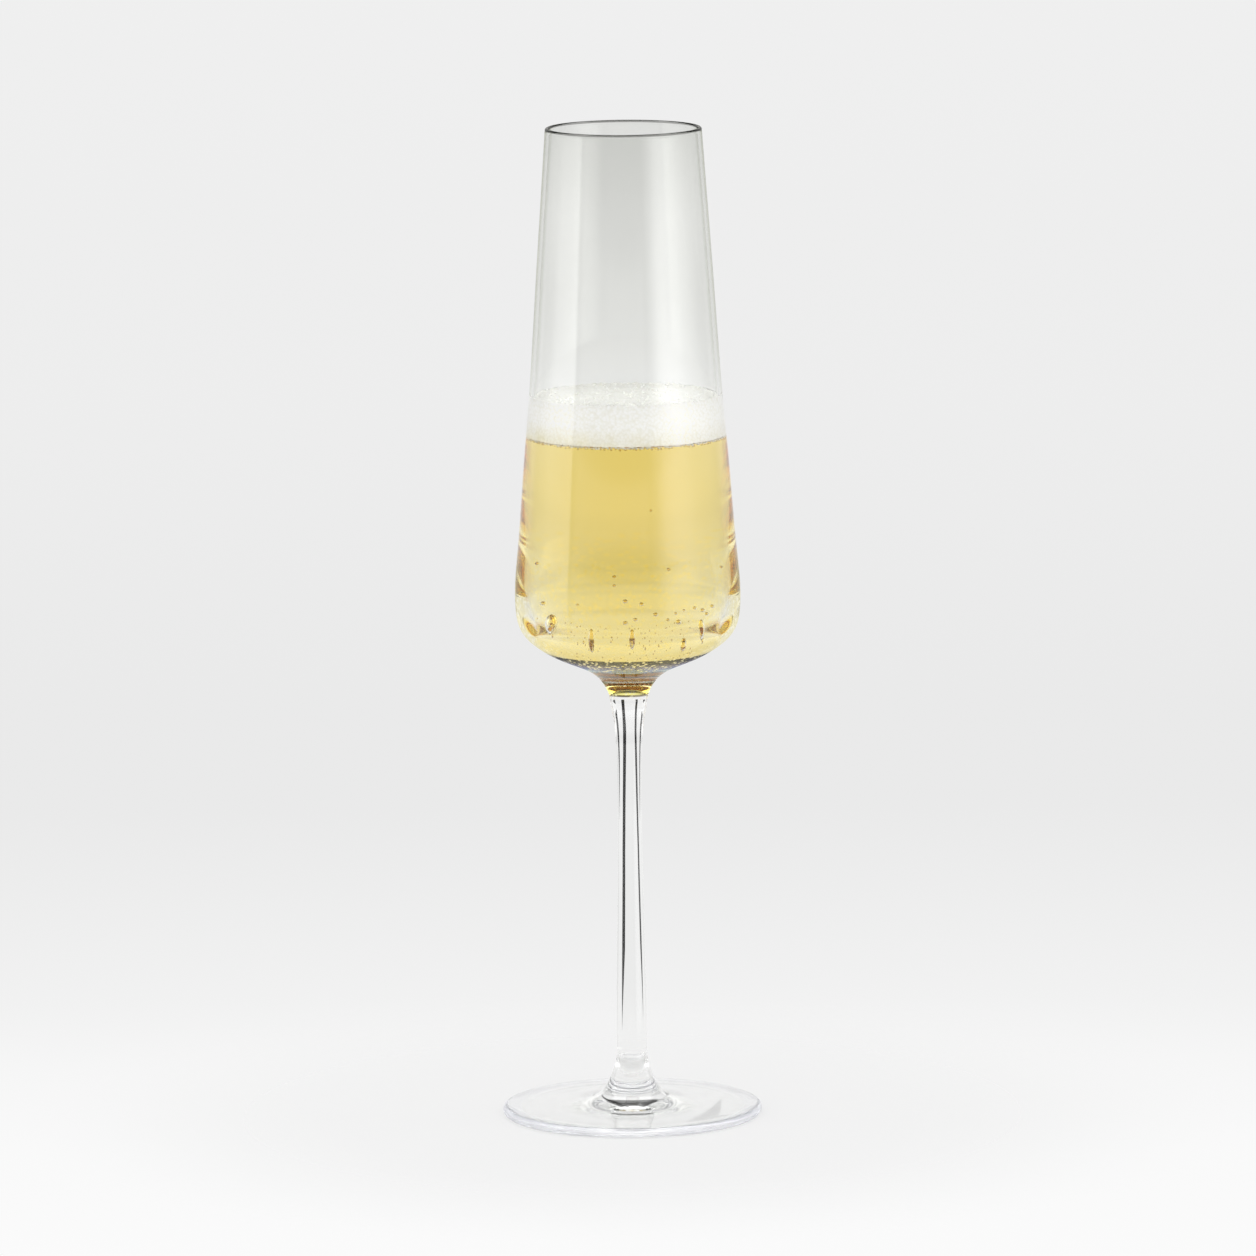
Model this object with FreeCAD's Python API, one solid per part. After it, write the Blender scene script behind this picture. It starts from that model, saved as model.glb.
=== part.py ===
import FreeCAD, Part
import os

# Champagne flute with its pour. Millimetres, +Z up, origin at the centre of the resting plane.

# heights
TOTAL_H = 260.0
BOWL_SEAM_Z = 110.4        # bottom of the bowl, where the stem is fused on
FOOT_SEAM_Z = 16.4         # bottom of the stem, where the foot's bell begins
BOWL_FLOOR_Z = 125.0       # lowest point of the inside
WINE_TOP_Z = 179.6
FOAM_TOP_Z = 190.5         # where the foam meets the wall
FOAM_DISH = 1.2            # how far the middle of the foam sits lower

# radii
RIM_OUTER_R = 20.35
RIM_WALL = 1.15
BOWL_SEAM_R = 4.95
FOOT_SEAM_R = 3.95
FOOT_R = 34.0

# foot
FOOT_EDGE_T = 2.5
REST_OUTER_R = 32.7        # the flute rests on a flat ring between these two radii
REST_INNER_R = 29.2
UNDER_RISE = 0.9           # height of the shallow hollow under the foot

ARC_TOLERANCE = 0.02       # how far the arcs of an outline may stray from its spline

# outlines as (radius, height); the foot's runs inwards from its edge, the rest bottom to top
BOWL_OUTSIDE = [
    (BOWL_SEAM_R, BOWL_SEAM_Z),
    (5.6, 112.6),
    (8.3, 116.3),
    (12.2, 118.7),
    (16.8, 120.6),
    (23.7, 124.3),
    (28.0, 128.8),
    (29.3, 134.6),
    (28.55, 150.0),
    (26.85, 171.0),
    (25.15, 190.5),
    (23.1, 220.0),
    (RIM_OUTER_R, TOTAL_H - RIM_WALL / 2),
]
BOWL_INSIDE = [
    (0.0, BOWL_FLOOR_Z),
    (8.0, 125.3),
    (13.8, 126.3),
    (16.8, 129.0),
    (19.8, 135.5),
    (22.9, 143.5),
    (25.0, 152.0),
    (25.8, 162.0),
    (25.4, 174.0),
    (24.0, 190.5),
    (22.0, 220.0),
    (RIM_OUTER_R - RIM_WALL, TOTAL_H - RIM_WALL / 2),
]
STEM_SIDE = [
    (FOOT_SEAM_R, FOOT_SEAM_Z),
    (3.95, 28.0),
    (3.6, 48.0),
    (3.22, 70.0),
    (3.25, 91.0),
    (3.5, 99.3),
    (4.1, 105.4),
    (4.75, 109.0),
    (BOWL_SEAM_R, BOWL_SEAM_Z),
]
FOOT_BELL = [
    (33.0, FOOT_EDGE_T),
    (24.0, 2.9),
    (13.5, 3.7),
    (9.4, 4.9),
    (6.9, 7.2),
    (5.4, 10.2),
    (4.2, 14.2),
    (FOOT_SEAM_R, FOOT_SEAM_Z),
]


def point(rz):
    return FreeCAD.Vector(rz[0], 0, rz[1])


def smooth(points, start, end):
    """Tangent arcs that follow a spline through points of (radius, height), with the given end directions."""
    knots = [point(p) for p in points]
    lengths = [0.0]
    for a, b in zip(knots, knots[1:]):
        lengths.append(lengths[-1] + a.distanceToPoint(b))
    curve = Part.BSplineCurve()
    curve.interpolate(
        Points=knots,
        Parameters=lengths,
        InitialTangent=point(start).normalize(),
        FinalTangent=point(end).normalize(),
        Scale=False,
    )
    return [piece.toShape() for piece in curve.toBiArcs(ARC_TOLERANCE)]


def line(a, b):
    return Part.makeLine(point(a), point(b))


def arc(a, through, b):
    return Part.Arc(point(a), point(through), point(b)).toShape()


def turned(edges):
    """The solid swept by a closed outline turned about the Z axis."""
    wire = Part.Wire(Part.__sortEdges__(edges))
    face = Part.Face(wire)
    solid = face.revolve(FreeCAD.Vector(0, 0, 0), FreeCAD.Vector(0, 0, 1), 360)
    if solid.Volume < 0:
        solid.reverse()
    return solid


def inside_curve():
    return smooth(BOWL_INSIDE, (1.0, 0.0), (-0.068, 1.0))


def bowl():
    outside = smooth(BOWL_OUTSIDE, (0.1, 1.0), (-0.066, 1.0))
    rim_mid = (RIM_OUTER_R - RIM_WALL / 2, TOTAL_H)
    rim = arc(BOWL_OUTSIDE[-1], rim_mid, BOWL_INSIDE[-1])
    axis = line(BOWL_INSIDE[0], (0.0, BOWL_SEAM_Z))
    seam = line((0.0, BOWL_SEAM_Z), BOWL_OUTSIDE[0])
    return turned(outside + inside_curve() + [rim, axis, seam])


def stem():
    side = smooth(STEM_SIDE, (0.02, 1.0), (0.06, 1.0))
    bottom = line((0.0, FOOT_SEAM_Z), STEM_SIDE[0])
    top = line(STEM_SIDE[-1], (0.0, BOWL_SEAM_Z))
    axis = line((0.0, BOWL_SEAM_Z), (0.0, FOOT_SEAM_Z))
    return turned(side + [bottom, top, axis])


def foot():
    bell = smooth(FOOT_BELL, (-1.0, 0.03), (0.0, 1.0))
    edge = arc((REST_OUTER_R, 0.0), (FOOT_R, FOOT_EDGE_T * 0.46), FOOT_BELL[0])
    ring = line((REST_INNER_R, 0.0), (REST_OUTER_R, 0.0))
    rise_mid = (REST_INNER_R / 2, UNDER_RISE * 0.75)
    hollow = arc((0.0, UNDER_RISE), rise_mid, (REST_INNER_R, 0.0))
    top = line(FOOT_BELL[-1], (0.0, FOOT_SEAM_Z))
    axis = line((0.0, FOOT_SEAM_Z), (0.0, UNDER_RISE))
    return turned(bell + [edge, ring, hollow, top, axis])


def cavity():
    """The whole inside of the bowl up to the rim, as a solid."""
    lid = line(BOWL_INSIDE[-1], (0.0, BOWL_INSIDE[-1][1]))
    axis = line((0.0, BOWL_INSIDE[-1][1]), BOWL_INSIDE[0])
    return turned(inside_curve() + [lid, axis])


def champagne():
    below = Part.makeCylinder(FOOT_R, WINE_TOP_Z)
    return cavity().common(below).Solids[0]


def foam_head():
    middle = (0.0, FOAM_TOP_Z - FOAM_DISH)
    base = (0.0, WINE_TOP_Z)
    top = arc(middle, (14.0, FOAM_TOP_Z - FOAM_DISH * 0.72), (25.0, FOAM_TOP_Z + 0.06))
    side = line((25.0, FOAM_TOP_Z + 0.06), (25.6, WINE_TOP_Z))
    layer = turned([top, side, line((25.6, WINE_TOP_Z), base), line(base, middle)])
    return cavity().common(layer).Solids[0]


def main():
    os.makedirs("parts", exist_ok=True)
    nodes = {
        "bowl": bowl(),
        "stem": stem(),
        "foot": foot(),
        "champagne": champagne(),
        "foam_head": foam_head(),
    }
    for name, shape in nodes.items():
        shape.exportStep("parts/" + name + ".step")
        print(name, round(shape.Volume), shape.isValid())


main()
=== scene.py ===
import math
import random

import bmesh
import bpy
import numpy as np
from mathutils import Matrix, Vector, noise


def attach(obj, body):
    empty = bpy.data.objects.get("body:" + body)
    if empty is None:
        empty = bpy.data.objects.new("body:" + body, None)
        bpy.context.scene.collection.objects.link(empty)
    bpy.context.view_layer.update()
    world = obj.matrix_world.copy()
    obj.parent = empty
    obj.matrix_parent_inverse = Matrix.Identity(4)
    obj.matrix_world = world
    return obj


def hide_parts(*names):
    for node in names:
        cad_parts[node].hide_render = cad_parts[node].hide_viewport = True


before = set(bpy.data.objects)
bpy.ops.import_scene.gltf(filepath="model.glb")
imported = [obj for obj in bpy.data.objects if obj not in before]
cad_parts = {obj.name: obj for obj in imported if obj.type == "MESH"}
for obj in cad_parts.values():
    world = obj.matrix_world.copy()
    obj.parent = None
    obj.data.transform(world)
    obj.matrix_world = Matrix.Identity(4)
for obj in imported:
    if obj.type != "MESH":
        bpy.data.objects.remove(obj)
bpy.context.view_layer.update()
MM = 0.001
SEGMENTS = 192

# the CAD outlines, (radius, height) in millimetres
TOTAL_H = 260.0
BOWL_SEAM_Z = 110.4
FOOT_SEAM_Z = 16.4
WINE_TOP_Z = 179.6
FOAM_TOP_Z = 190.5
BOWL_OUTSIDE = [
    (4.95, BOWL_SEAM_Z), (5.6, 112.6), (8.3, 116.3), (12.2, 118.7), (16.8, 120.6), (23.7, 124.3),
    (28.0, 128.8), (29.3, 134.6), (28.55, 150.0), (26.85, 171.0), (25.15, 190.5), (23.1, 220.0),
    (20.35, 259.425),
]
BOWL_INSIDE = [
    (0.0, 125.0), (8.0, 125.3), (13.8, 126.3), (16.8, 129.0), (19.8, 135.5), (22.9, 143.5), (25.0, 152.0),
    (25.8, 162.0), (25.4, 174.0), (24.0, 190.5), (22.0, 220.0), (19.2, 259.425),
]
STEM_SIDE = [
    (3.95, FOOT_SEAM_Z), (3.95, 28.0), (3.6, 48.0), (3.22, 70.0), (3.25, 91.0), (3.5, 99.3),
    (4.1, 105.4), (4.75, 109.0), (4.95, BOWL_SEAM_Z),
]
FOOT_BELL = [
    (33.0, 2.5), (24.0, 2.9), (13.5, 3.7), (9.4, 4.9), (6.9, 7.2), (5.4, 10.2), (4.2, 14.2),
    (3.95, FOOT_SEAM_Z),
]
FOOT_ROUNDING = [(32.7, 0.0), (34.0, 1.15), (33.0, 2.5)]
FOOT_HOLLOW = [(0.0, 0.9), (14.6, 0.675), (29.2, 0.0)]
# how far inside the bowl's wall each of the contents stops, in millimetres
WINE_GAP = 0.03
FOAM_GAP = 0.06
BEAD_GAP = 0.08


def unit(v):
    """The direction of v, as an array of length 1."""
    v = np.array(v, float)
    return v / np.hypot(*v)


def spline(points, start, end, step):
    """Points about step mm apart on the spline through points, with the given end directions."""
    p = np.array(points, float)
    h = np.hypot(*np.diff(p, axis=0).T)
    n = len(p)
    a = np.zeros((n, n))
    b = np.zeros((n, 2))
    a[0, 0] = a[-1, -1] = 1
    b[0], b[-1] = unit(start), unit(end)
    for i in range(1, n - 1):
        a[i, i - 1 : i + 2] = h[i], 2 * (h[i - 1] + h[i]), h[i - 1]
        b[i] = 3 * (h[i] / h[i - 1] * (p[i] - p[i - 1]) + h[i - 1] / h[i] * (p[i + 1] - p[i]))
    m = np.linalg.solve(a, b)
    out = []
    for i in range(n - 1):
        count = max(2, math.ceil(h[i] / step))
        for t in np.arange(count) / count:
            out.append(
                (2 * t**3 - 3 * t**2 + 1) * p[i] + (t**3 - 2 * t**2 + t) * h[i] * m[i]
                + (3 * t**2 - 2 * t**3) * p[i + 1] + (t**3 - t**2) * h[i] * m[i + 1]
            )
    return [tuple(q) for q in out] + [tuple(p[-1])]


def arc(a, through, b, count):
    """Points of the circular arc from a to b through a third point, ends included."""
    (ax, ay), (bx, by), (cx, cy) = a, through, b
    d = 2 * (ax * (by - cy) + bx * (cy - ay) + cx * (ay - by))
    ux = ((ax**2 + ay**2) * (by - cy) + (bx**2 + by**2) * (cy - ay) + (cx**2 + cy**2) * (ay - by)) / d
    uy = ((ax**2 + ay**2) * (cx - bx) + (bx**2 + by**2) * (ax - cx) + (cx**2 + cy**2) * (bx - ax)) / d
    r = math.hypot(ax - ux, ay - uy)
    t0, t1, t2 = (math.atan2(y - uy, x - ux) for x, y in (a, through, b))
    t1 = t0 + (t1 - t0 + math.pi) % math.tau - math.pi
    t2 = t1 + (t2 - t1 + math.pi) % math.tau - math.pi
    return [(ux + r * math.cos(t), uy + r * math.sin(t)) for t in np.linspace(t0, t2, count)]


def cut_at(points, z):
    """The same outline with a point added where it crosses height z."""
    out = [points[0]]
    for a, b in zip(points, points[1:]):
        if (a[1] - z) * (b[1] - z) < 0:
            t = (z - a[1]) / (b[1] - a[1])
            out.append((a[0] + t * (b[0] - a[0]), z))
        out.append(b)
    return out


def inset(points, gap):
    """An outline of the cavity moved gap mm into it; the outline runs up from the axis."""
    p = np.array(points)
    d = np.gradient(p, axis=0)
    n = np.stack([-d[:, 1], d[:, 0]], axis=1) / np.hypot(*d.T)[:, None]
    q = p + gap * n
    q[0] = (0.0, p[0][1] + gap)
    return [tuple(v) for v in q]


def cavity(step):
    """The bowl's inner outline, from the axis up to the rim, in steps of about step mm."""
    return spline(BOWL_INSIDE, (1.0, 0.0), (-0.068, 1.0), step)


def add_object(name, data):
    """A new object in the scene, at the origin."""
    o = bpy.data.objects.new(name, data)
    bpy.context.scene.collection.objects.link(o)
    return o


def mesh_from(bm, name):
    """A mesh made of a bmesh, which is freed."""
    mesh = bpy.data.meshes.new(name)
    bm.to_mesh(mesh)
    bm.free()
    return mesh


def add_balls(mesh, balls, slot=0, inward=False):
    """
    Adds smooth balls, (x, y, z, radius, height / width) in mm, to a finished mesh. inward makes them voids.
    """
    bm = bmesh.new()
    bmesh.ops.create_icosphere(bm, subdivisions=2, radius=1.0)
    shape = np.array([v.co for v in bm.verts])
    faces = [[v.index for v in f.verts] for f in bm.faces]
    bm.free()
    if inward:
        faces = [f[::-1] for f in faces]
    verts = [tuple(v.co) for v in mesh.vertices]
    loops = [tuple(f.vertices) for f in mesh.polygons]
    slots = [f.material_index for f in mesh.polygons]
    for x, y, z, radius, tall in balls:
        start = len(verts)
        verts += [tuple(q) for q in (shape * (radius, radius, radius * tall) + (x, y, z)) * MM]
        loops += [tuple(start + k for k in f) for f in faces]
        slots += [slot] * len(faces)
    mesh.clear_geometry()
    mesh.from_pydata(verts, [], loops)
    mesh.polygons.foreach_set("material_index", slots)
    mesh.polygons.foreach_set("use_smooth", [True] * len(slots))
    mesh.update()


def radius_at(points, z):
    """Radius of an outline at height z."""
    r, h = np.array(points).T
    return float(np.interp(z, h, r))


def lathe(name, outline, materials, which=None, voids=(), void_slot=0, segments=SEGMENTS):
    """
    A closed solid of revolution. outline is (radius, height) in mm from axis to axis, and which gives each
    step's material. voids are small hollows inside it: (x, y, z, radius, height / width) in mm.
    """
    bm = bmesh.new()
    rings = []
    for r, z in outline:
        if r < 1e-6:
            rings.append([bm.verts.new((0, 0, z * MM))])
            continue
        turn = [math.tau * k / segments for k in range(segments)]
        rings.append([bm.verts.new((r * MM * math.cos(t), r * MM * math.sin(t), z * MM)) for t in turn])
    for i, (low, high) in enumerate(zip(rings, rings[1:])):
        for k in range(segments):
            j = (k + 1) % segments
            corners = [low[k % len(low)], low[j % len(low)], high[j % len(high)], high[k % len(high)]]
            corners = list(dict.fromkeys(corners))
            face = bm.faces.new(corners)
            face.smooth = True
            face.material_index = which[i] if which else 0
    bmesh.ops.recalc_face_normals(bm, faces=bm.faces)
    mesh = mesh_from(bm, name)
    if voids:
        add_balls(mesh, voids, void_slot, inward=True)
    mesh.set_sharp_from_angle(angle=math.radians(50))
    for m in materials:
        mesh.materials.append(m)
    return add_object(name, mesh)


# ---- shader nodes ----
def put(links, socket, v):
    """Links v to a socket when it is a node's output, or else sets it as the socket's value."""
    if isinstance(v, bpy.types.NodeSocket):
        links.new(v, socket)
    else:
        socket.default_value = v


def maths(nodes, links, operation, *values):
    n = nodes.new("ShaderNodeMath")
    n.operation = operation
    for socket, v in zip(n.inputs, values):
        put(links, socket, v)
    return n.outputs[0]


def ease(nodes, links, value, start, end, low=0.0, high=1.0, kind="SMOOTHSTEP"):
    """low where value is at start, high where it is at end, and a soft step between, or a straight one."""
    n = nodes.new("ShaderNodeMapRange")
    n.interpolation_type = kind
    n.clamp = True
    flip = start > end
    a, b, c, d = (end, start, high, low) if flip else (start, end, low, high)
    for socket, v in zip(list(n.inputs)[1:5], (a, b, c, d)):
        socket.default_value = v
    links.new(value, n.inputs["Value"])
    return n.outputs[0]


def mix(nodes, links, factor, a, b):
    """The number a, or b where factor is 1."""
    n = nodes.new("ShaderNodeMix")
    n.data_type = "FLOAT"
    for socket, v in zip((n.inputs["Factor"], n.inputs["A"], n.inputs["B"]), (factor, a, b)):
        put(links, socket, v)
    return n.outputs["Result"]


def blend(nodes, links, kind, factor, a, b):
    """The colour a, blended with the colour b as far as factor says."""
    n = nodes.new("ShaderNodeMix")
    n.data_type = "RGBA"
    n.blend_type = kind
    for socket, v in zip((n.inputs["Factor"], n.inputs[6], n.inputs[7]), (factor, a, b)):
        put(links, socket, v)
    return n.outputs[2]


def ramp(nodes, links, value, stops):
    """A colour by value, from stops of (position, grey) or (position, red, green, blue)."""
    n = nodes.new("ShaderNodeValToRGB")
    links.new(value, n.inputs["Fac"])
    e = n.color_ramp.elements
    e.remove(e[-1])
    for k, (position, *colour) in enumerate(stops):
        stop = e.new(position) if k else e[0]
        stop.position = position
        stop.color = (*(colour * 3 if len(colour) == 1 else colour), 1)
    return n.outputs["Color"]


def cells(nodes, links, place, scale):
    """Round cells in space, scale of them to the metre."""
    n = nodes.new("ShaderNodeTexVoronoi")
    n.inputs["Scale"].default_value = scale
    links.new(place, n.inputs["Vector"])
    return n


def place_of(nodes, links):
    """The place on the piece, whole and as x, y and z."""
    place = nodes.new("ShaderNodeTexCoord").outputs["Object"]
    xyz = nodes.new("ShaderNodeSeparateXYZ")
    links.new(place, xyz.inputs[0])
    return place, xyz.outputs


def material(name):
    """A new empty material, with its nodes and links."""
    m = bpy.data.materials.new(name)
    m.use_nodes = True
    m.node_tree.nodes.clear()
    return m, m.node_tree.nodes, m.node_tree.links


# ---- glass and wine ----
HEAVY_BASE_Z = 150.0
GLASS_IOR = 1.5
WINE_IOR = 1.34
WINE_COLOUR = (0.977, 0.875, 0.34)
WINE_DENSITY = 47.0
# clear dots in the heavy base's tint: painted glints
SPECKS_PER_METRE = 800
SPECK_SIZE = 0.36
SPECKS_LEFT_OUT = 0.3
PAINTED_GLINT_COLOUR = (1, 0.98, 0.85, 1)
# the foot's edge: a bluish-white diffuse share mixed into its glass, a painted highlight that makes the edge
# bright
EDGE_HIGHLIGHT_COLOUR = (0.80, 0.81, 0.88, 1)
EDGE_HIGHLIGHT_SHARE = 0.2


def glass(name, ior, tint=(1, 1, 1), absorb=None, density=0.0):
    """Clear glass or liquid. ior is that of its inside over that of what is outside."""
    m, nodes, links = material(name)
    out = nodes.new("ShaderNodeOutputMaterial")
    shader = nodes.new("ShaderNodeBsdfGlass")
    shader.inputs["IOR"].default_value = ior
    shader.inputs["Roughness"].default_value = 0.0
    shader.inputs["Color"].default_value = (*tint, 1)
    links.new(shader.outputs[0], out.inputs["Surface"])
    if absorb:
        volume = nodes.new("ShaderNodeVolumeAbsorption")
        volume.inputs["Color"].default_value = (*absorb, 1)
        volume.inputs["Density"].default_value = density
        links.new(volume.outputs[0], out.inputs["Volume"])
    return m


def fused(name):
    """For a face inside fused glass, or one wetted by the wine: it bends nothing."""
    m, nodes, links = material(name)
    out = nodes.new("ShaderNodeOutputMaterial")
    shader = nodes.new("ShaderNodeBsdfTransparent")
    links.new(shader.outputs[0], out.inputs["Surface"])
    return m


def paint_light_and_shade_by_height(m, bottom, top, stops, edge_on_stops, start, end, painted_glints=False):
    """
    Colours a glass by height in mm, to paint light and shade into it. Where it is seen edge-on, from layer
    weight start up to end, it takes the edge-on colours too, more painted light and shade. painted_glints are
    clear dots in the tint, painted glints.
    """
    nodes, links = kit = m.node_tree.nodes, m.node_tree.links
    place, xyz = place_of(*kit)
    height = ease(*kit, xyz["Z"], bottom * MM, top * MM, kind="LINEAR")
    tint, edge_on_painted_light = (
        ramp(*kit, height, [((z - bottom) / (top - bottom), *colour) for z, *colour in heights])
        for heights in (stops, edge_on_stops)
    )
    edge_on = ease(*kit, nodes.new("ShaderNodeLayerWeight").outputs["Facing"], start, end)
    # only as light enters, so that light kept inside the wall isn't tinted again and again
    entering = maths(*kit, "SUBTRACT", 1.0, nodes.new("ShaderNodeNewGeometry").outputs["Backfacing"])
    colour = blend(*kit, "MULTIPLY", maths(*kit, "MULTIPLY", edge_on, entering), tint, edge_on_painted_light)
    # painted glints: clear dots in the painted tint
    if painted_glints:
        spots = cells(*kit, place, SPECKS_PER_METRE)
        dot = maths(*kit, "LESS_THAN", spots.outputs["Distance"], SPECK_SIZE)
        some = maths(*kit, "GREATER_THAN", spots.outputs["Color"], SPECKS_LEFT_OUT)
        colour = blend(*kit, "MIX", maths(*kit, "MULTIPLY", dot, some), colour, PAINTED_GLINT_COLOUR)
    glassy = next(n for n in nodes if n.bl_idname == "ShaderNodeBsdfGlass")
    links.new(colour, glassy.inputs["Color"])
    return m


def edge_glass_with_painted_highlight(name):
    """The fire-polished edge of the foot: clear glass mixed with a bluish-white diffuse share, a painted
    highlight that brightens the edge.
    """
    m = glass(name, GLASS_IOR)
    nodes, links = m.node_tree.nodes, m.node_tree.links
    out = next(n for n in nodes if n.bl_idname == "ShaderNodeOutputMaterial")
    glassy = next(n for n in nodes if n.bl_idname == "ShaderNodeBsdfGlass")
    # painted highlight: bluish-white diffuse mixed into the edge's glass
    painted_highlight = nodes.new("ShaderNodeBsdfDiffuse")
    painted_highlight.inputs["Color"].default_value = EDGE_HIGHLIGHT_COLOUR
    both = nodes.new("ShaderNodeMixShader")
    both.inputs["Fac"].default_value = EDGE_HIGHLIGHT_SHARE
    links.new(glassy.outputs[0], both.inputs[1])
    links.new(painted_highlight.outputs[0], both.inputs[2])
    links.new(both.outputs[0], out.inputs["Surface"])
    return m


# the stops below are (height in mm, red, green, blue)
clear = glass("clear_glass", GLASS_IOR, (0.995, 0.996, 0.993))
edge = edge_glass_with_painted_highlight("foot_edge_glass")
# the rim is tinted dark grey: painted shade for the dark line the rim shows
rim_glass_painted_shade = glass("rim_glass_painted_shade", GLASS_IOR, (0.45, 0.45, 0.44))
# the glass above the pour, darker towards the rim and darker again where it is seen edge-on: painted shade
glass_above_pour_painted_shade = paint_light_and_shade_by_height(
    glass("glass_above_the_pour_painted_shade", GLASS_IOR), FOAM_TOP_Z, TOTAL_H,
    [(190.5, .986, .988, .983), (201, .968, .970, .962), (218, .955, .957, .948), (238, .953, .955, .946),
     (260, .922, .925, .914)],
    [(190.5, .93, .93, .91), (205, .84, .85, .80), (260, .74, .75, .69)], 0.68, 0.88)
# the heavy base: the dark rings at 111.6 and 114.6 mm are painted shade, and the gold band between them is
# painted light in the wine's colour; it is slightly darker from 128 to 144 mm. Seen edge-on, the dark
# crescent up to 123.4 mm is painted shade and the yellow above it is painted light in the wine's colour;
# painted glints are dotted in it
base = paint_light_and_shade_by_height(
    glass("heavy_base_glass_painted_light", GLASS_IOR), BOWL_SEAM_Z, HEAVY_BASE_Z,
    [(110.4, .99, .99, .99), (111.3, .99, .99, .99), (111.6, .35, .31, .22), (111.9, .35, .31, .22),
     (112.1, 1, .97, .58), (114.3, 1, .96, .60), (114.6, .42, .38, .26), (115.1, .42, .38, .26),
     (115.4, .99, .99, .97), (123.4, .99, .99, .97), (128.0, .985, .985, .96), (132.0, .98, .98, .95),
     (138.0, .955, .955, .93), (144.0, .96, .96, .935), (150.0, .995, .996, .993)],
    [(110.4, 1, 1, 1), (117.8, 1, 1, 1), (118.6, .80, .92, 1), (119.6, .45, .50, .74), (120.8, .42, .42, .60),
     (121.6, .32, .32, .40), (122.2, .24, .245, .29), (123.4, .19, .195, .22),
     (123.55, .965, .91, .68), (142.0, .965, .91, .68), (150.0, 1, .98, .93)], 0.42, 0.66, painted_glints=True)
seam = fused("fused_seam")
wetted = fused("wetted_wall")

# ---- the bubbles in the wine ----
random.seed(11)
FINE_BUBBLES = 150
BUBBLES_UNDER_FOAM = 170
# the bubbles big enough to see one by one, each against the front wall: (across, height, radius before
# BUBBLE_GROWTH, height / width)
BUBBLE_GROWTH = 1.35
BUBBLES = [
    (-21.0, 147.5, 0.45, 0.7), (-3.2, 145.9, 0.4, 0.7), (-3.2, 143.5, 0.35, 0.7), (-0.6, 139.3, 0.5, 0.7),
    (3.2, 138.5, 0.45, 0.7), (-20.0, 137.0, 0.5, 0.7), (6.3, 135.7, 0.5, 0.7), (1.7, 134.6, 0.45, 0.7),
    (-0.6, 133.8, 0.5, 0.7), (9.9, 147.4, 0.4, 0.7), (23.0, 145.9, 0.35, 0.7), (6.0, 163.3, 0.25, 1.0),
    (-11.5, 138.0, 0.3, 0.7), (9.0, 134.2, 0.35, 0.7), (10.8, 135.6, 0.35, 0.7), (12.6, 136.2, 0.3, 0.7),
    (14.8, 136.4, 0.4, 0.7), (16.2, 135.5, 0.45, 0.7), (16.8, 134.4, 0.4, 0.7), (18.6, 136.0, 0.4, 0.7),
    (11.2, 133.4, 0.5, 0.9), (-8.1, 130.4, 0.5, 2.6), (0.9, 130.6, 0.5, 2.4), (15.4, 131.6, 0.5, 2.2),
    (12.0, 129.6, 0.5, 1.0), (-19.6, 132.6, 1.0, 1.3), (-17.8, 132.3, 0.8, 1.5),
]


def wine_bubbles(side):
    """The hollows in the wine, each just inside its wall, whose outline is side."""
    voids = []
    for across, z, radius, tall in BUBBLES:
        radius *= BUBBLE_GROWTH
        r = radius_at(side, z) - radius * max(1.0, 0.6 * tall) - 0.15
        across = max(-0.93 * r, min(0.93 * r, across))
        voids.append((across, -math.sqrt(r * r - across * across), z, radius, tall))
    # fine bubbles low in the bowl, more of them to the right
    for _ in range(FINE_BUBBLES):
        z = 126.9 + random.random() ** 1.6 * 6.5
        radius = random.uniform(0.08, 0.2)
        r = radius_at(side, z) - radius - 0.25
        turn = random.triangular(-1.5, 1.5, 0.5)
        voids.append((r * math.sin(turn), -r * math.cos(turn), z, radius, 1.0))
    # a row of bubbles under the foam, against the wall
    for k in range(BUBBLES_UNDER_FOAM):
        turn = math.tau * (k + random.uniform(-0.3, 0.3)) / BUBBLES_UNDER_FOAM
        radius = random.uniform(0.12, 0.3)
        z = WINE_TOP_Z - radius - random.uniform(0.05, 0.35)
        r = radius_at(side, z) - radius - 0.05
        voids.append((r * math.sin(turn), -r * math.cos(turn), z, radius, 1.0))
    return voids


def ball_piece(name, balls, look):
    """A piece made only of balls, (x, y, z, radius, height / width) in mm."""
    mesh = bpy.data.meshes.new(name)
    add_balls(mesh, balls)
    mesh.materials.append(look)
    return add_object(name, mesh)


# ---- the pieces ----
def build_bowl():
    outside = cut_at(spline(BOWL_OUTSIDE, (0.1, 1.0), (-0.066, 1.0), 0.8), FOAM_TOP_Z)
    outside = cut_at(outside, HEAVY_BASE_Z)
    rim = arc(BOWL_OUTSIDE[-1], (19.775, TOTAL_H), BOWL_INSIDE[-1], 13)[1:-1]
    inside = cut_at(cavity(0.8), FOAM_TOP_Z)[::-1]
    outline = [(0.0, BOWL_SEAM_Z)] + outside + rim + inside
    looks = [clear, seam, wetted, glass_above_pour_painted_shade, base, rim_glass_painted_shade]
    is_clear, is_seam, is_wetted, is_above_pour_painted_shade, is_base, is_rim = range(len(looks))
    which = [is_seam]
    for _, z in outside[:-1]:
        which.append(is_base if z < HEAVY_BASE_Z - 1e-6 else is_clear if z < FOAM_TOP_Z - 1e-6 else is_above_pour_painted_shade)
    which += [is_rim] * (len(rim) + 1)
    which += [is_wetted if z <= FOAM_TOP_Z + 1e-6 else is_above_pour_painted_shade for _, z in inside[:-1]]
    return lathe("bowl_glass", outline, looks, which)


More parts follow.
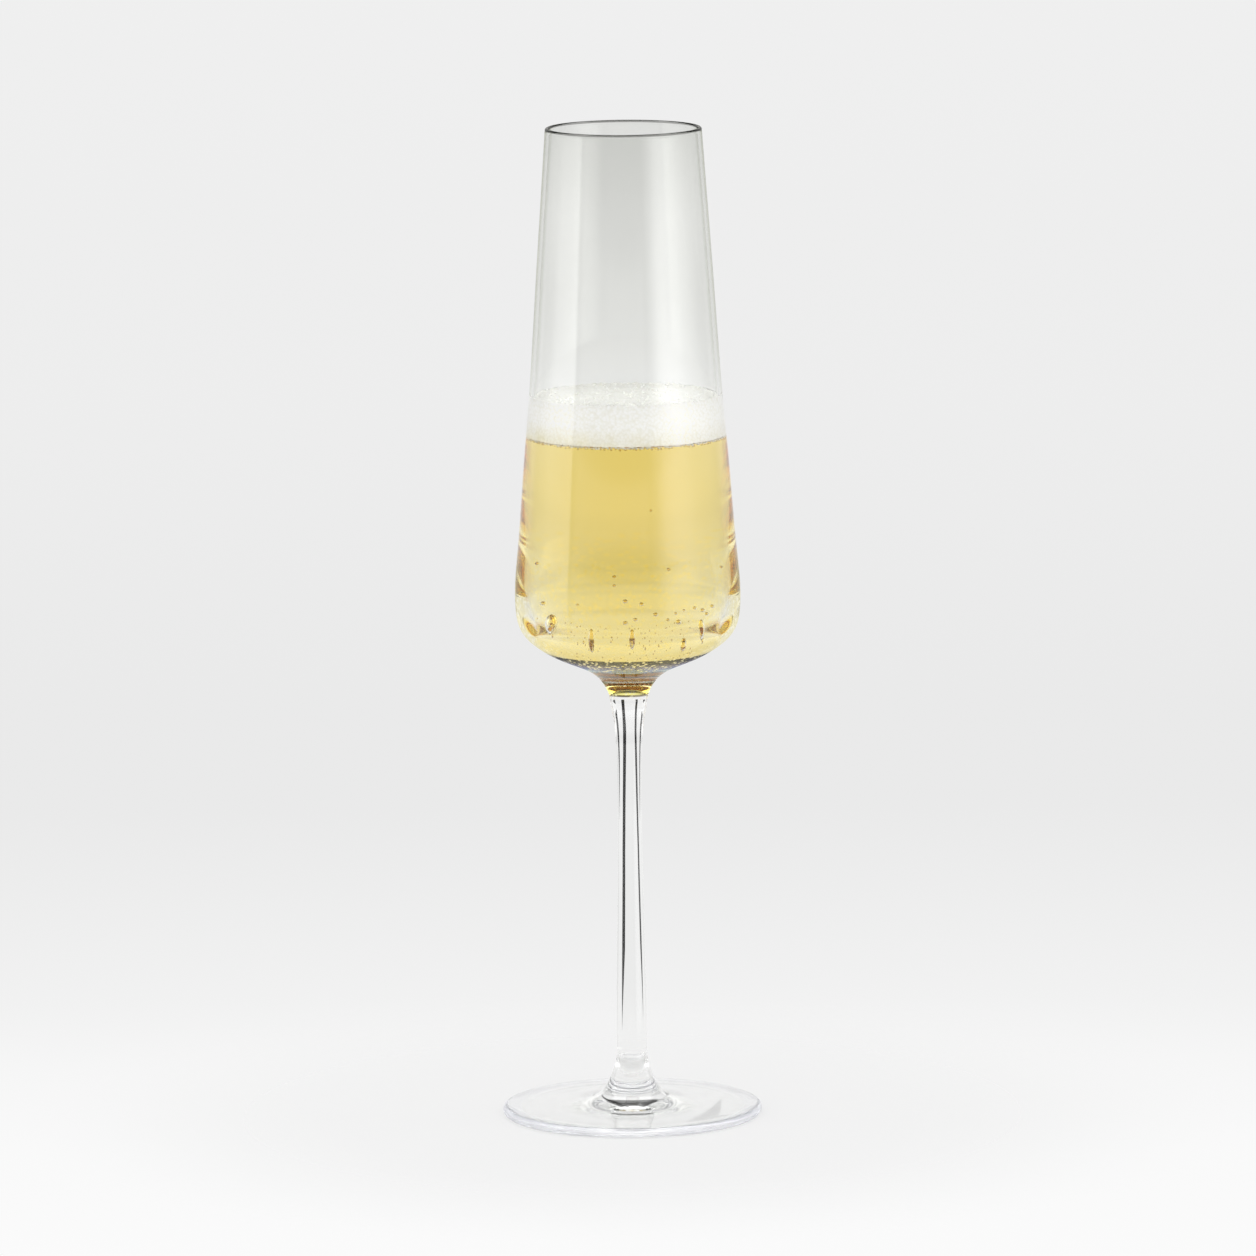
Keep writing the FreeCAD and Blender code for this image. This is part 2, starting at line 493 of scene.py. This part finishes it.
def build_stem():
    side = spline(STEM_SIDE, (0.02, 1.0), (0.06, 1.0), 0.8)
    outline = [(0.0, FOOT_SEAM_Z)] + side + [(0.0, BOWL_SEAM_Z)]
    which = [1] + [0] * (len(side) - 1) + [1]
    return lathe("stem_glass", outline, [clear, seam], which)


def build_foot():
    top = spline(FOOT_BELL, (-1.0, 0.03), (0.0, 1.0), 0.5)
    rounding = arc(*FOOT_ROUNDING, 14)[:-1]
    hollow = arc(*FOOT_HOLLOW, 16)
    outline = hollow + rounding + top + [(0.0, FOOT_SEAM_Z)]
    which = [0] * (len(hollow) - 1) + [2] * len(rounding) + [0] * (len(top) - 1) + [1, 1]
    return lathe("foot_glass", outline, [clear, seam, edge], which)


def build_wine():
    wall = glass("champagne_wall", WINE_IOR / GLASS_IOR, (1, 1, 1), WINE_COLOUR, WINE_DENSITY)
    top = glass("champagne_surface", WINE_IOR, (1, 1, 1), WINE_COLOUR, WINE_DENSITY)
    side = [q for q in inset(cut_at(cavity(0.8), WINE_TOP_Z), WINE_GAP) if q[1] <= WINE_TOP_Z + 0.01]
    side[-1] = (side[-1][0], WINE_TOP_Z)
    outline = side + [(0.0, WINE_TOP_Z)]
    which = [0] * (len(side) - 1) + [1]
    return lathe("champagne_liquid", outline, [wall, top], which, wine_bubbles(side), 1)


FOAM_BUBBLES_PER_METRE = 1400
FOAM_PATCHES_PER_METRE = 230
FOAM_RIM_Z = FOAM_TOP_Z - 0.6
FOAM_WHITE = (0.99, 0.989, 0.975, 1)
# the foam's yellow near the wine, pulled further towards it to the left as painted shade
FOAM_YELLOW_AND_PAINTED_SHADE = (0.88, 0.80, 0.42, 1)
BEADS_ON_TOP = 620
BEADS_ON_WINE_LINE = 330


def foam_material(name, rough):
    """Froth: white, yellower near the wine, and yellower and darker to the left as painted shade, with the
    fine bubbles as bumps and painted shade in the hollows between them.
    """
    m, nodes, links = material(name)
    kit = (nodes, links)
    out = nodes.new("ShaderNodeOutputMaterial")
    shader = nodes.new("ShaderNodeBsdfPrincipled")
    shader.inputs["Roughness"].default_value = rough
    links.new(shader.outputs[0], out.inputs["Surface"])
    place, xyz = place_of(*kit)
    bubbles = cells(*kit, place, FOAM_BUBBLES_PER_METRE).outputs["Distance"]
    patches = nodes.new("ShaderNodeTexNoise")
    patches.inputs["Scale"].default_value = FOAM_PATCHES_PER_METRE
    patches.inputs["Detail"].default_value = 3
    links.new(place, patches.inputs["Vector"])
    # yellower near the wine, in uneven patches, and more so to the left, where it is painted shade for the
    # foam's shaded left side
    low = ease(*kit, xyz["Z"], (WINE_TOP_Z + 5.0) * MM, (WINE_TOP_Z - 1.0) * MM, kind="LINEAR")
    low = maths(*kit, "MULTIPLY", low, patches.outputs["Fac"])
    across = ease(*kit, xyz["X"], -25 * MM, 20 * MM, 1.3, 0.3, kind="LINEAR")
    yellowing_and_painted_shade = maths(*kit, "MULTIPLY", low, across)
    body = blend(*kit, "MIX", yellowing_and_painted_shade, FOAM_WHITE, FOAM_YELLOW_AND_PAINTED_SHADE)
    # painted shade: darker in the hollows between the bubbles
    painted_shade_in_gaps = ramp(*kit, bubbles, [(0.25, 1), (0.85, 0.92, 0.91, 0.86)])
    links.new(blend(*kit, "MULTIPLY", 1.0, body, painted_shade_in_gaps), shader.inputs["Base Color"])
    bump = nodes.new("ShaderNodeBump")
    bump.invert = True
    bump.inputs["Strength"].default_value = 0.4
    bump.inputs["Distance"].default_value = 0.00018
    links.new(bubbles, bump.inputs["Height"])
    links.new(bump.outputs[0], shader.inputs["Normal"])
    return m


def foam_top(x, y, r, r_wall):
    """Height of the foam's uneven top in mm: it dips in the middle and climbs a little at the wall."""
    broad = noise.noise(Vector((x * 0.16, y * 0.16, 3.0)))
    fine = noise.noise(Vector((x * 0.7, y * 0.7, 8.0)))
    swell = broad * 0.5 + fine * 0.28
    climb = 1.6 * (r / r_wall) ** 2
    return min(FOAM_TOP_Z - 0.02, FOAM_TOP_Z - 1.75 + climb + 0.7 * swell)


def build_foam():
    wall = inset(cavity(0.5), FOAM_GAP)
    side = [q for q in wall if WINE_TOP_Z + 0.05 < q[1] < FOAM_TOP_Z - 1.6]
    underside = [(side[0][0] * k / 8, WINE_TOP_Z + 0.05) for k in range(8)]
    r_wall = radius_at(wall, FOAM_RIM_Z)
    top = [(r_wall * k / 60, FOAM_RIM_Z) for k in range(60, -1, -1)]
    foam = lathe("foam_head_froth", underside + side + top, [foam_material("foam_head", 0.5)], segments=320)
    for v in foam.data.vertices:
        if v.co.z > (FOAM_RIM_Z - 0.1) * MM:
            x, y = v.co.x / MM, v.co.y / MM
            v.co.z = foam_top(x, y, math.hypot(x, y), r_wall) * MM
    return foam


def build_froth_beads():
    """Single bubbles that stand on the foam, mostly round its edge, and others where it meets the wine."""
    wall = inset(cavity(0.5), BEAD_GAP)
    r_wall = radius_at(wall, FOAM_RIM_Z)
    balls = []
    for _ in range(BEADS_ON_TOP):
        radius = random.choice((0.12, 0.16, 0.2, 0.26, 0.34))
        if random.random() < 0.6:
            r = r_wall - radius - abs(random.gauss(0, 0.5))
        else:
            r = (r_wall - 1.5) * math.sqrt(random.random())
        turn = random.uniform(0, math.tau)
        x, y = r * math.cos(turn), r * math.sin(turn)
        z = foam_top(x, y, r, r_wall) + radius * random.uniform(0.2, 0.8)
        if r + radius < radius_at(wall, z + radius) - 0.05:
            balls.append((x, y, z, radius, 1.0))
    # along the line where the foam meets the wine, just inside the wall
    for k in range(BEADS_ON_WINE_LINE):
        radius = random.uniform(0.18, 0.42)
        z = WINE_TOP_Z + random.uniform(-0.25, 0.2)
        turn = math.tau * (k + random.uniform(-0.4, 0.4)) / BEADS_ON_WINE_LINE
        r = radius_at(wall, z) - radius - 0.06
        balls.append((r * math.cos(turn), r * math.sin(turn), z, radius, 1.0))
    return ball_piece("froth_beads", balls, foam_material("froth_bubble", 0.3))


pieces = [
    (build_bowl(), "bowl", "bowl_glass"),
    (build_stem(), "stem", "stem_glass"),
    (build_foot(), "foot", "foot_glass"),
    (build_wine(), "champagne", "champagne"),
    (build_foam(), "foam_head", "foam"),
]
for piece, node, slot in pieces:
    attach(piece, "root")
    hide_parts(node)
froth = build_froth_beads()
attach(froth, "root")


# ---- the studio ----
# the dark edging cards that draw the lines in the stem: each strip's points as (across, height, width)
CARD_AWAY = 50
CARDS = [
    [(9.5, 112, 5), (10, 98, 8), (12.5, 87, 9), (16, 75, 10), (19, 60, 11), (20, 33, 11), (22, 24, 7),
     (24, 16, 3), (25, 11, 0.4)],
    [(-13, 112, 4), (-16, 98, 6), (-20, 87, 8), (-24, 75, 8), (-29, 60, 9), (-32, 33, 10), (-35, 21, 5),
     (-36, 12, 0.5)],
    [(38, 112, 16), (39, 98, 16), (41, 87, 13), (46, 75, 8), (48, 66, 1)],
    [(-44, 112, 17), (-46, 98, 17), (-48, 87, 14), (-48, 75, 8), (-48, 66, 1)],
]


def build_cards():
    """Black cards that nothing but light bent by the glass meets."""
    bm = bmesh.new()
    for strip in CARDS:
        rows = [
            [bm.verts.new(((x + side * w / 2) * MM, CARD_AWAY * MM, z * MM)) for side in (-1, 1)]
            for x, z, w in strip
        ]
        for (a, b), (c, d) in zip(rows, rows[1:]):
            bm.faces.new([a, b, d, c])
    mesh = mesh_from(bm, "edging_cards")
    cards = add_object("edging_cards", mesh)
    m, nodes, links = material("black_card")
    out = nodes.new("ShaderNodeOutputMaterial")
    black = nodes.new("ShaderNodeEmission")
    black.inputs["Color"].default_value = (0.005, 0.005, 0.005, 1)
    links.new(black.outputs[0], out.inputs["Surface"])
    mesh.materials.append(m)
    cards.visible_camera = False
    cards.visible_diffuse = False
    cards.visible_glossy = False
    cards.visible_shadow = False


# in metres: the floor fades out between these two distances from the glass, and lies a hair under its foot
FLOOR_FADES_FROM = 0.07
FLOOR_FADES_TO = 0.165
FLOOR_RADIUS = 0.17
FLOOR_DROP = 0.00005
FLOOR_GLOW = 0.675


def build_floor():
    """A pale round table top that glows a little and fades out into the backdrop."""
    bm = bmesh.new()
    bmesh.ops.create_circle(bm, cap_ends=True, radius=FLOOR_RADIUS, segments=96)
    floor = add_object("floor", mesh_from(bm, "floor"))
    floor.location.z = -FLOOR_DROP
    m, nodes, links = material("pale_floor")
    out = nodes.new("ShaderNodeOutputMaterial")
    diffuse = nodes.new("ShaderNodeBsdfDiffuse")
    diffuse.inputs["Color"].default_value = (0.12, 0.12, 0.12, 1)
    glow = nodes.new("ShaderNodeEmission")
    glow.inputs["Strength"].default_value = FLOOR_GLOW
    table = nodes.new("ShaderNodeAddShader")
    links.new(diffuse.outputs[0], table.inputs[0])
    links.new(glow.outputs[0], table.inputs[1])
    clearing = nodes.new("ShaderNodeBsdfTransparent")
    fade = nodes.new("ShaderNodeMixShader")
    place = nodes.new("ShaderNodeTexCoord")
    length = nodes.new("ShaderNodeVectorMath")
    length.operation = "LENGTH"
    links.new(place.outputs["Object"], length.inputs[0])
    away = ease(nodes, links, length.outputs["Value"], FLOOR_FADES_FROM, FLOOR_FADES_TO)
    links.new(away, fade.inputs["Fac"])
    links.new(table.outputs[0], fade.inputs[1])
    links.new(clearing.outputs[0], fade.inputs[2])
    links.new(fade.outputs[0], out.inputs["Surface"])
    floor.data.materials.append(m)


# what lights the glass, as (bearing, brightness), in degrees round it from straight behind it, left negative
LIGHTS = [
    (-180, .1), (-117, .1), (-115, 2.4), (-100, 2.2), (-85, 2.0), (-74, 1.5), (-58, 1.1), (-44, .85),
    (-20, .84), (0, .85), (20, .84), (44, .85), (58, 1.0), (74, 1.3), (86, 1.6), (98, 2.1), (109, 2.9),
    (119, 3.3), (128, 3.3), (137, 2.9), (146, 1.5), (155, .1), (180, .1),
]
TOP_LEVEL = 5.0  # a ramp holds no more than 1, so the brightness is divided by this and multiplied back
OVERHEAD = 2.55
BELOW = 0.80
THROUGH_GLASS = 1.1
# what the camera sees behind it all, as (degrees above the horizon, grey)
BACKDROP = [
    (-14, .962), (-12.6, .96), (-12, .95), (-11.5, .925), (-11.1, .885), (-10.5, .853), (-9.9, .822),
    (-9.26, .822), (-8.64, .83), (-7.4, .85), (-6.2, .855), (-5, .865), (0, .87),
]


def build_world():
    """The backdrop that the camera sees, and the soft lamps round the glass."""
    world = bpy.data.worlds.new("studio")
    bpy.context.scene.world = world
    world.use_nodes = True
    nodes, links = world.node_tree.nodes, world.node_tree.links
    nodes.clear()
    kit = (nodes, links)
    place = nodes.new("ShaderNodeTexCoord")
    xyz = nodes.new("ShaderNodeSeparateXYZ")
    links.new(place.outputs["Generated"], xyz.inputs[0])
    x, y, z = xyz.outputs
    bearing = maths(*kit, "MULTIPLY", maths(*kit, "ARCTAN2", x, y), 180 / math.pi)
    turn = maths(*kit, "MULTIPLY_ADD", bearing, 1 / 360, 0.5)
    rise = maths(*kit, "MULTIPLY", maths(*kit, "ARCSINE", z), 180 / math.pi)

    # what the camera sees: a plain backdrop, by height
    seen = ramp(*kit, maths(*kit, "MULTIPLY_ADD", rise, 1 / 20, 1.0), [(d / 20 + 1, v) for d, v in BACKDROP])

    # what lights the glass
    def by_bearing(*stops):
        return ramp(*kit, turn, [((degrees + 180) / 360, v) for degrees, v in stops])

    around = by_bearing(*[(degrees, v / TOP_LEVEL) for degrees, v in LIGHTS])
    around = maths(*kit, "MULTIPLY", around, TOP_LEVEL)
    sides = by_bearing((-60, 1), (-50, 0), (50, 0), (60, 1))
    # the pale table in front of the glass, and the dim room over it
    front = by_bearing((-180, 1), (-125, 1), (-114, 0), (148, 0), (158, 1))
    table = maths(*kit, "ADD", ease(*kit, rise, 2.4, 0.7, 0.0, 0.85), ease(*kit, rise, -9.2, -10.2, 0.0, 0.6))
    around = maths(*kit, "MULTIPLY_ADD", front, table, around)
    around = maths(*kit, "MULTIPLY", around, mix(*kit, sides, 1.0, ease(*kit, rise, 0.8, 2.2, 1.0, 0.6)))
    around = maths(*kit, "MULTIPLY", around, mix(*kit, sides, 1.0, ease(*kit, rise, -1.0, -4.0, 1.0, 0.65)))
    # the backdrop ends above, and behind it the room is dim
    back_part = by_bearing((-75, 0), (-60, 1), (60, 1), (75, 0))
    fall = mix(*kit, ease(*kit, rise, 18, 25), ease(*kit, rise, -2, 3, 1.0, 1.1), 0.12)
    level = mix(*kit, back_part, 1.0, fall)
    around = maths(*kit, "MULTIPLY", around, level)
    roof = mix(*kit, back_part, ease(*kit, rise, 4, 12), ease(*kit, rise, 50, 60))
    lit = mix(*kit, roof, around, ease(*kit, rise, 15, 40, 2.0, OVERHEAD))
    below = mix(*kit, ease(*kit, rise, -13, -16), lit, BELOW)

    path = nodes.new("ShaderNodeLightPath")
    # seen through the glass the lamps look no brighter than this, but they light the foam in full, and so
    # they do where one wall mirrors them
    clear_view = maths(*kit, "LESS_THAN", path.outputs["Diffuse Depth"], 0.5)
    clear_view = maths(*kit, "MULTIPLY", clear_view, path.outputs["Is Transmission Ray"])
    mirrored = maths(*kit, "COMPARE", path.outputs["Glossy Depth"], 1.0, 0.5)
    clear_view = maths(*kit, "MULTIPLY", clear_view, maths(*kit, "SUBTRACT", 1.0, mirrored))
    below = mix(*kit, clear_view, below, maths(*kit, "MINIMUM", below, THROUGH_GLASS))
    back = nodes.new("ShaderNodeBackground")
    links.new(blend(*kit, "MIX", path.outputs["Is Camera Ray"], below, seen), back.inputs["Color"])
    out = nodes.new("ShaderNodeOutputWorld")
    links.new(back.outputs[0], out.inputs["Surface"])


FOCAL_LENGTH = 266.2
CAMERA_AT = (0, -2.3948, 0.5003)
CAMERA_DOWN = 8.816
CAMERA_ROLL = -0.546


def build_camera():
    """A long lens that looks slightly down on the glass. The angles are in degrees."""
    data = bpy.data.cameras.new("camera")
    data.sensor_width = 36
    data.lens = FOCAL_LENGTH
    data.clip_start = 0.1
    data.clip_end = 50
    cam = add_object("camera", data)
    cam.location = CAMERA_AT
    tilt = Matrix.Rotation(math.radians(90 - CAMERA_DOWN), 4, "X")
    roll = Matrix.Rotation(math.radians(CAMERA_ROLL), 4, "Z")
    cam.rotation_euler = (tilt @ roll).to_euler()
    bpy.context.scene.camera = cam


build_floor()
build_cards()
build_world()
build_camera()

# light goes round and round inside the thick glass, and fewer bounces than this leave it dark
GLASS_BOUNCES = 48
scene = bpy.context.scene
scene.view_settings.view_transform = "Standard"
scene.cycles.max_bounces = GLASS_BOUNCES
scene.cycles.transmission_bounces = GLASS_BOUNCES
scene.cycles.glossy_bounces = GLASS_BOUNCES
scene.cycles.diffuse_bounces = 8
scene.cycles.transparent_max_bounces = GLASS_BOUNCES
scene.cycles.use_denoising = True
scene.cycles.sample_clamp_indirect = 12
